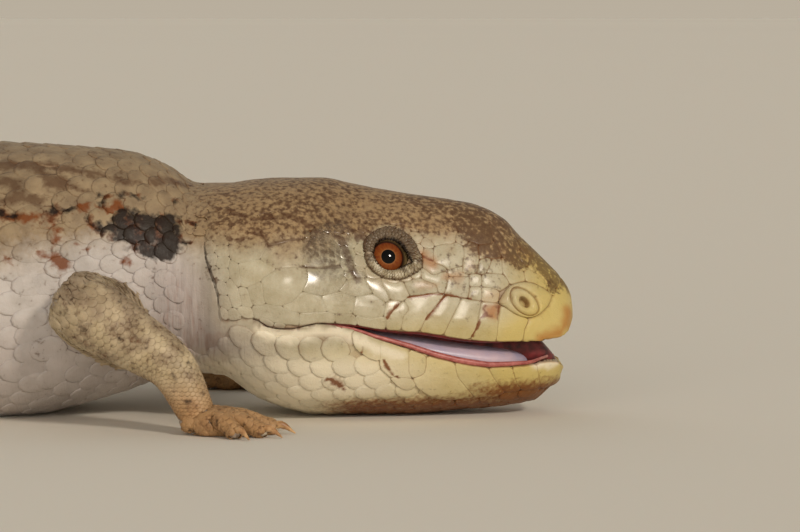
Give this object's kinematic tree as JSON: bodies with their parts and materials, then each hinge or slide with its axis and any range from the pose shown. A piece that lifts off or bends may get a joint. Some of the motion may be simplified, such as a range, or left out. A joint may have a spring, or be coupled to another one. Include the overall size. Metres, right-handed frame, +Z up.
{
  "type": "blue tongued skink",
  "caption": "Life-size blue tongued skink resting on its belly, head in line with +X, mouth a little open with the blue tongue showing, short legs splayed and tail in a gentle curve.",
  "frame": {"origin": "middle of the flat under the belly, on the floor", "axes": "+X towards the snout, +Z up; the head points along +X and the trunk and tail curve back behind it"},
  "size_m": [0.4552, 0.1439, 0.049],
  "materials": {
    "head_scales": "satin, smooth horny shields",
    "jaw_scales": "satin, smooth horny scales",
    "body_scales": "satin, overlapping smooth scales",
    "limb_scales": "satin, small overlapping scales",
    "foot_scales": "satin, banded toes and horn claws",
    "tongue": "wet, smooth",
    "eye": "polished, wet"
  },
  "bodies": {
    "root": {"head": "head_scales", "lower_jaw": "jaw_scales", "tongue": "tongue", "eye_right": "eye", "eye_left": "eye", "neck": "body_scales", "torso_front": "body_scales", "torso_middle": "body_scales", "torso_rear": "body_scales", "tail_base": "body_scales", "tail_middle": "body_scales", "tail_tip": "body_scales", "upper_arm_right": "limb_scales", "forearm_right": "limb_scales", "thigh_right": "limb_scales", "shank_right": "limb_scales", "forefoot_right": "foot_scales", "hindfoot_right": "foot_scales", "upper_arm_left": "limb_scales", "forearm_left": "limb_scales", "thigh_left": "limb_scales", "shank_left": "limb_scales", "forefoot_left": "foot_scales", "hindfoot_left": "foot_scales"}
  },
  "joints": []
}
